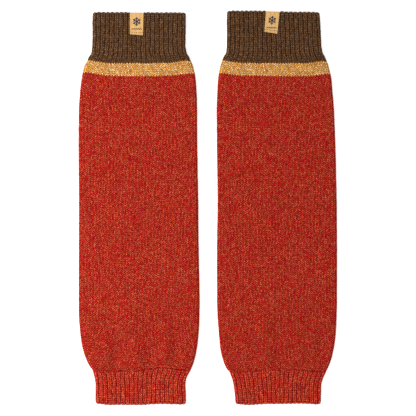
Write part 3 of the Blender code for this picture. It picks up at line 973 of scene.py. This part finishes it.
def blend(tree, factor, first, second):
    """A Mix node between two colours, whose sockets for colours are taken by place."""
    return add_node(tree, "Mix", {0: factor, 6: first, 7: second}, data_type="RGBA").outputs[2]


def scaled(tree, colour, factor):
    """A colour times a factor."""
    inputs = {0: colour, "Scale": factor}
    return add_node(tree, "VectorMath", inputs, operation="SCALE").outputs[0]


def noise_of(tree, vector, scale, detail):
    """A Noise texture's value over a vector."""
    inputs = {"Vector": vector, "Scale": scale, "Detail": detail}
    return Value(tree, add_node(tree, "TexNoise", inputs).outputs["Fac"])


def vector_of(tree, *parts):
    """A vector of values or plain numbers."""
    return add_node(tree, "CombineXYZ", dict(enumerate(parts))).outputs[0]


def parts_of(tree, vector):
    """The x and y of a vector."""
    node = add_node(tree, "SeparateXYZ", {0: vector})
    return Value(tree, node.outputs["X"]), Value(tree, node.outputs["Y"])


def draws_of(tree, vector):
    """Three random numbers for each pair of a vector's x and y."""
    random = add_node(tree, "TexWhiteNoise", {"Vector": vector}, noise_dimensions="2D")
    split = add_node(tree, "SeparateColor", {0: random.outputs["Color"]})
    return [Value(tree, socket) for socket in split.outputs]


def bump_of(tree, height, relief, under=None):
    """A Bump node's normal from a relief's strength and depth, over another normal if one is given."""
    strength, depth = relief
    inputs = {"Height": height, "Strength": strength, "Distance": depth}
    if under is not None:
        inputs["Normal"] = under
    return add_node(tree, "Bump", inputs).outputs["Normal"]


def new_group(name, inputs, outputs):
    """A shader node group, its input sockets and its output node, from the kinds of its named sockets."""
    group = bpy.data.node_groups.new(name, "ShaderNodeTree")
    for in_out, sockets in (("INPUT", inputs), ("OUTPUT", outputs)):
        for label, kind in sockets.items():
            group.interface.new_socket(name=label, in_out=in_out, socket_type="NodeSocket" + kind)
    return group, group.nodes.new("NodeGroupInput").outputs, group.nodes.new("NodeGroupOutput")


def stitch_group(name):
    """Where yarn shows between gaps of painted shade, and its height, from the stitches' map.

    Plain: two legs to a wale, a quarter of a wale from its middle, widest in the middle of their
    course. Rib: two legs to a rib, fainter where courses meet, with a gap of painted shade between
    them, and a groove with a faint bump there. In patches some courses long the grooves close. The
    share of rib blends the two.
    """
    sockets = {"Stitch": "Vector", "Ribbed": "Float"}
    group, given, result = new_group(name, sockets, {"Yarn": "Float", "Height": "Float"})
    wale, course = parts_of(group, given["Stitch"])
    ribbed = Value(group, given["Ribbed"])
    bulge = (course.maths("FRACT") * math.pi).maths("SINE")
    off_leg = (wale.maths("PINGPONG", 0.5) - PLAIN_LEG).maths("ABSOLUTE")
    plain = (bulge * PLAIN_LEG_WIDTH - PLAIN_LEG_GAP - off_leg).ramp(*PLAIN_LEG_EDGE)
    to_crest = 1.0 - wale.maths("PINGPONG", 1.0)
    off_leg = (to_crest - RIB_LEG).maths("ABSOLUTE")
    legs = (RIB_LEG - off_leg).ramp(*RIB_LEG_EDGE) * bulge.ramp(*RIB_LEG_FADE)
    bump = (GROOVE_BUMP_WIDTH - (1.0 - to_crest)).ramp(*GROOVE_BUMP_EDGE) * (1.0 - bulge)
    patches = vector_of(group, (wale + 0.5).maths("FLOOR"), course * PATCHES_A_COURSE)
    closed = noise_of(group, patches, 1.0, 1.0).ramp(*PATCH_EDGE)
    rib = (legs + bump * GROOVE_BUMP_STRENGTH).maths("MAXIMUM", closed * PATCH_STRENGTH)
    yarn = (rib * ribbed).maths("ADD", plain * (1.0 - ribbed), clamp=True)
    feed(group, result, {"Yarn": yarn, "Height": yarn.maths("POWER", YARN_ROUNDNESS)})
    return group


def marl_group(name):
    """Masks of a marled two-ply yarn, its tone and its height, from the stitches' map.

    Each leg of a stitch is a cell of half a wale by one course. Its plies cross it as slanting bands.
    Random numbers for the cell and for its quarters, the bands and a fine noise choose which strands
    show in the second and third colour, and how light each is.
    """
    inputs = {"Stitch": "Vector", "Place": "Vector", "Second share": "Float", "Third share": "Float"}
    outputs = {"Second": "Float", "Third": "Float", "Tone": "Float", "Height": "Float"}
    group, given, result = new_group(name, inputs, outputs)
    wale, course = parts_of(group, given["Stitch"])
    legs = wale * 2.0
    cells, quarters = (
        draws_of(group, vector_of(group, across.maths("FLOOR"), along.maths("FLOOR")))
        for across, along in ((legs, course), (legs * 2.0, course * 2.0))
    )
    twist = legs * PLY_TURNS[0] + course * PLY_TURNS[1] + cells[2] * PLY_TURNS[2]
    ply = (twist * (2 * math.pi)).maths("SINE")
    strands = noise_of(group, given["Place"], STRAND_SCALE, 2.0)
    fibres = noise_of(group, given["Place"], FIBRE_SCALE, 1.0)
    grain = (strands - 0.5) * STRAND_WEIGHT + ply * PLY_WEIGHT
    for label, draw, way in (("Second", 0, 1.0), ("Third", 1, -1.0)):
        chance = (cells[draw] - 0.5) * LEG_WEIGHT + (quarters[draw] - 0.5) + grain * way
        chance = chance + Value(group, given[label + " share"])
        feed(group, result, {label: chance.ramp(*CHOICE_EDGE)})
    tone = quarters[2] + cells[2] + fibres * FIBRE_WEIGHT - MEAN_TONE
    feed(group, result, {"Tone": tone, "Height": ply * PLY_HEIGHT + fibres})
    return group


def snowflake_group(name):
    """Mask of a woven snowflake with six arms and a zigzag under it, from a map in metres.

    The map is cut into threads. Folded into a twelfth of a turn, the flake is half a straight arm with
    one branch at 60 degrees. The zigzag is a triangle wave's line.
    """
    sockets = {"Map": "Vector", "Thread": "Float"}
    group, given, result = new_group(name, sockets, {"Flake": "Float", "Zigzag": "Float"})
    thread = Value(group, given["Thread"])
    across, down = (part.maths("SNAP", thread) for part in parts_of(group, given["Map"]))
    below = down - FLAKE_DOWN
    reach = (across * across + below * below).maths("SQRT")
    turn = across.maths("ARCTAN2", below).maths("PINGPONG", math.pi / 6)
    along, aside = reach * turn.maths("COSINE"), reach * turn.maths("SINE")
    arm = aside.maths("LESS_THAN", FLAKE_LINE) * reach.maths("LESS_THAN", FLAKE_REACH)
    start, length = FLAKE_BRANCH
    off_branch = (along - start) * math.sin(FLAKE_ANGLE) - aside * math.cos(FLAKE_ANGLE)
    branch = off_branch.maths("ABSOLUTE").maths("LESS_THAN", FLAKE_LINE)
    branch = branch * aside.maths("LESS_THAN", length)
    off_wave = (down - ZIGZAG_DOWN - across.maths("PINGPONG", ZIGZAG_STEP)).maths("ABSOLUTE")
    zigzag = off_wave.maths("LESS_THAN", ZIGZAG_LINE)
    zigzag = zigzag * across.maths("ABSOLUTE").maths("LESS_THAN", ZIGZAG_REACH)
    feed(group, result, {"Flake": arm.maths("MAXIMUM", branch), "Zigzag": zigzag})
    return group


def group_node(tree, name, make, inputs):
    """The outputs of a node that holds a group, which is made when it is first asked for."""
    group = bpy.data.node_groups.get(name) or make(name)
    return add_node(tree, "Group", inputs, node_tree=group).outputs


def new_material(name):
    """A material with only its output and a Principled shader, its node tree and the shader."""
    material = bpy.data.materials.new(name)
    material.use_nodes = True
    tree = material.node_tree
    tree.nodes.clear()
    shader = add_node(tree, "BsdfPrincipled", {})
    add_node(tree, "OutputMaterial", {"Surface": shader.outputs["BSDF"]})
    return material, tree, shader


def map_of(tree, name):
    """A mesh's own map by its name."""
    return add_node(tree, "UVMap", {}, uv_map=name).outputs["UV"]


def yarn_material(name, colours, mix):
    """Marled wool: three yarn colours by the marl's masks, uneven in tone, over painted shade in the
    gaps.

    The colours are the main, second and third one and the painted shade in the gaps. The mix holds
    the shares of the second and third colour, and the unevenness in tone.
    """
    main, second, third, gaps = ((*colour, 1.0) for colour in colours)
    second_share, third_share, unevenness = mix
    material, tree, shader = new_material(name)
    stitches = map_of(tree, "stitches")
    place = add_node(tree, "TexCoord", {}).outputs["Object"]
    ribbed = add_node(tree, "Attribute", {}, attribute_name="ribbed").outputs["Fac"]
    knit = group_node(tree, "knit stitches", stitch_group, {"Stitch": stitches, "Ribbed": ribbed})
    marl = group_node(tree, "marled yarn", marl_group, {
        "Stitch": stitches, "Place": place, "Second share": second_share, "Third share": third_share,
    })
    colour = blend(tree, marl["Second"], main, second)
    colour = blend(tree, marl["Third"], colour, third)
    tone = Value(tree, marl["Tone"]) * unevenness + 1.0
    # Painted shade: the gaps between the stitches take a dark colour, where shade falls in the knit
    colour = blend(tree, knit["Yarn"], gaps, scaled(tree, colour, tone))
    relief = bump_of(tree, knit["Height"], STITCH_BUMP)
    feed(tree, shader, {
        "Base Color": colour,
        "Normal": bump_of(tree, marl["Height"], FIBRE_BUMP, relief),
        "Roughness": 0.92,
        "Specular IOR Level": 0.02,
        "Sheen Weight": 0.1,
        "Sheen Roughness": 0.5,
        "Sheen Tint": second,
    })
    return material


def tape_material(name, ground, ink):
    """Woven tape: fine crossing threads and slubs, a dark snowflake and a fainter zigzag."""
    material, tree, shader = new_material(name)
    own_map = map_of(tree, "weave")
    motif = group_node(tree, "woven snowflake", snowflake_group, {"Map": own_map, "Thread": MOTIF_THREAD})
    across, down = parts_of(tree, own_map)
    warp, weft = ((part * (2 * math.pi / WEAVE_PITCH)).maths("SINE") for part in (across, down))
    weave = warp * weft
    slub = noise_of(tree, vector_of(tree, across * SLUB_SCALES[0], down * SLUB_SCALES[1]), 1.0, 2.0)
    tone = weave * WEAVE_TONE + TAPE_TONE + slub * SLUB_TONE
    zigzag = Value(tree, motif["Zigzag"]) * ZIGZAG_STRENGTH
    colour = blend(tree, zigzag, (*ground, 1.0), (*ink, 1.0))
    colour = blend(tree, motif["Flake"], colour, (*ink, 1.0))
    feed(tree, shader, {
        "Base Color": scaled(tree, colour, tone),
        "Normal": bump_of(tree, weave, WEAVE_BUMP),
        "Roughness": 0.6,
        "Specular IOR Level": 0.35,
        "Sheen Weight": 0.15,
    })
    return material


def thread_material(name, colour):
    """Sewing thread: two plies as fine slanting bands."""
    material, tree, shader = new_material(name)
    across, down = parts_of(tree, add_node(tree, "TexCoord", {}).outputs["Object"])
    band = ((across + down * PLY_SLANT) * (2 * math.pi / PLY_PITCH)).maths("SINE")
    feed(tree, shader, {
        "Base Color": scaled(tree, tuple(colour), band * PLY_TONE + THREAD_TONE),
        "Normal": bump_of(tree, band, THREAD_BUMP),
        "Roughness": 0.55,
    })
    return material


def lay_floor(scene):
    """A pale floor just under the cloth. Its own glow makes it the pure white of a cut-out photo."""
    ends = (-FLOOR_HALF_WIDTH, FLOOR_HALF_WIDTH)
    corners = [(x, y, -FLOOR_DROP) for y in ends for x in ends]
    mesh = bpy.data.meshes.new("floor")
    mesh.from_pydata(corners, [], [(0, 1, 3, 2)])
    floor = bpy.data.objects.new("floor", mesh)
    scene.collection.objects.link(floor)
    material, tree, shader = new_material("pale_floor")
    feed(tree, shader, {
        "Base Color": (FLOOR_GREY, FLOOR_GREY, FLOOR_GREY, 1.0),
        "Roughness": 0.9,
        "Emission Color": (1.0, 1.0, 1.0, 1.0),
        "Emission Strength": FLOOR_GLOW,
    })
    mesh.materials.append(material)


def light_scene(scene):
    """A white sky and two square lamps, each turned to the middle of the pair."""
    world = bpy.data.worlds.new("studio")
    scene.world = world
    world.use_nodes = True
    sky = {"Color": (1.0, 1.0, 1.0, 1.0), "Strength": SKY_STRENGTH}
    feed(world.node_tree, world.node_tree.nodes["Background"], sky)
    for name, place, size, power in LIGHTS:
        lamp = bpy.data.lights.new(name, "AREA")
        lamp.size = size
        lamp.energy = power
        holder = bpy.data.objects.new(name, lamp)
        holder.location = place
        holder.rotation_euler = (-Vector(place)).to_track_quat("-Z", "Y").to_euler()
        scene.collection.objects.link(holder)


def set_camera(scene):
    """A camera straight above, so high that the picture's width fits at the height of the outline."""
    camera = bpy.data.cameras.new("camera")
    camera.sensor_width = SENSOR
    camera.lens = LENS
    camera.clip_start, camera.clip_end = NEAREST, FURTHEST
    holder = bpy.data.objects.new("camera", camera)
    holder.location = (*PICTURE_MIDDLE, OUTLINE_HEIGHT + SHOWN_WIDTH * LENS / SENSOR)
    scene.collection.objects.link(holder)
    scene.camera = holder


class LEGWARMERS_OT_stage(bpy.types.Operator):
    """Lay the pale floor and set the soft lights and the camera straight above"""

    bl_idname = "legwarmers.stage"
    bl_label = "Stage"

    def execute(self, context):
        lay_floor(context.scene)
        light_scene(context.scene)
        set_camera(context.scene)
        context.scene.view_settings.view_transform = "Standard"
        # Stitches and flecks are a pixel or two wide here, and denoising smears them
        context.scene.cycles.use_denoising = False
        return {"FINISHED"}


class LEGWARMERS_OT_top_cuffs(bpy.types.Operator):
    """Knit the ribbed top cuffs"""

    bl_idname = "legwarmers.top_cuffs"
    bl_label = "Top cuffs"

    def execute(self, context):
        yarns = context.scene.yarn_colours
        colours = (yarns.brown, yarns.brown_fleck, yarns.brown_dark, yarns.brown_painted_shade)
        knit_zone(context, "top_cuff", yarn_material("brown_wool", colours, YARN_MIXES["top_cuff"]))
        return {"FINISHED"}


class LEGWARMERS_OT_stripes(bpy.types.Operator):
    """Knit the golden stripes under the top cuffs"""

    bl_idname = "legwarmers.stripes"
    bl_label = "Stripes"

    def execute(self, context):
        yarns = context.scene.yarn_colours
        colours = (yarns.gold, yarns.cream, yarns.amber, yarns.gold_painted_shade)
        knit_zone(context, "stripe", yarn_material("golden_wool", colours, YARN_MIXES["stripe"]))
        return {"FINISHED"}


class LEGWARMERS_OT_legs(bpy.types.Operator):
    """Knit the plain legs"""

    bl_idname = "legwarmers.legs"
    bl_label = "Legs"

    def execute(self, context):
        yarns = context.scene.yarn_colours
        colours = (yarns.red, yarns.orange, yarns.olive, yarns.red_painted_shade)
        knit_zone(context, "leg", yarn_material("red_wool", colours, YARN_MIXES["leg"]))
        return {"FINISHED"}


class LEGWARMERS_OT_ankle_cuffs(bpy.types.Operator):
    """Knit the ribbed ankle cuffs"""

    bl_idname = "legwarmers.ankle_cuffs"
    bl_label = "Ankle cuffs"

    def execute(self, context):
        yarns = context.scene.yarn_colours
        colours = (yarns.red, yarns.orange, yarns.olive, yarns.red_painted_shade)
        knit_zone(context, "ankle_cuff", yarn_material("red_rib_wool", colours, YARN_MIXES["ankle_cuff"]))
        return {"FINISHED"}


class LEGWARMERS_OT_labels(bpy.types.Operator):
    """Weave the labels, fold them over the rims and sew them on"""

    bl_idname = "legwarmers.labels"
    bl_label = "Labels"

    def execute(self, context):
        sizes, colours = context.scene.knit_sizes, context.scene.yarn_colours
        tape = tape_material("label_tape", colours.tape, colours.tape_ink)
        thread = thread_material("sewing_thread", colours.sewing)
        for side in SIDES:
            upper, lower, own_map = label_layers(side, sizes)
            mesh = strip_mesh(f"{side}_label_tape", upper, lower, own_map, "weave")
            label = add_piece(mesh.name, mesh, tape)
            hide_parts(f"{side}_label")
            length = LABELS[side][1] * MM
            ended = length - sizes.label_dip
            sewing = sewing_mesh(f"{side}_label_stitches", sizes, upper, own_map, ended)
            stitches = add_piece(sewing.name, sewing, thread)
        return {"FINISHED"}


class LEGWARMERS_PT_panel(bpy.types.Panel):
    """Buttons for each piece and the sizes and colours that they take"""

    bl_label = "Leg warmers"
    bl_idname = "LEGWARMERS_PT_panel"
    bl_space_type = "VIEW_3D"
    bl_region_type = "UI"
    bl_category = "Leg warmers"

    def draw(self, context):
        for operator in OPERATORS:
            self.layout.operator(operator.bl_idname)
        for settings in (context.scene.knit_sizes, context.scene.yarn_colours):
            box = self.layout.box()
            for name in settings.__annotations__:
                box.prop(settings, name)


OPERATORS = (
    LEGWARMERS_OT_stage,
    LEGWARMERS_OT_top_cuffs,
    LEGWARMERS_OT_stripes,
    LEGWARMERS_OT_legs,
    LEGWARMERS_OT_ankle_cuffs,
    LEGWARMERS_OT_labels,
)
CLASSES = (KnitSizes, YarnColours, *OPERATORS, LEGWARMERS_PT_panel)


def register():
    for each in CLASSES:
        bpy.utils.register_class(each)
    bpy.types.Scene.knit_sizes = PointerProperty(type=KnitSizes)
    bpy.types.Scene.yarn_colours = PointerProperty(type=YarnColours)


def unregister():
    del bpy.types.Scene.yarn_colours
    del bpy.types.Scene.knit_sizes
    for each in reversed(CLASSES):
        bpy.utils.unregister_class(each)


def main():
    register()
    bpy.ops.legwarmers.stage()
    bpy.ops.legwarmers.top_cuffs()
    bpy.ops.legwarmers.stripes()
    bpy.ops.legwarmers.legs()
    bpy.ops.legwarmers.ankle_cuffs()
    bpy.ops.legwarmers.labels()
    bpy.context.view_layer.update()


if __name__ == "__main__":
    main()
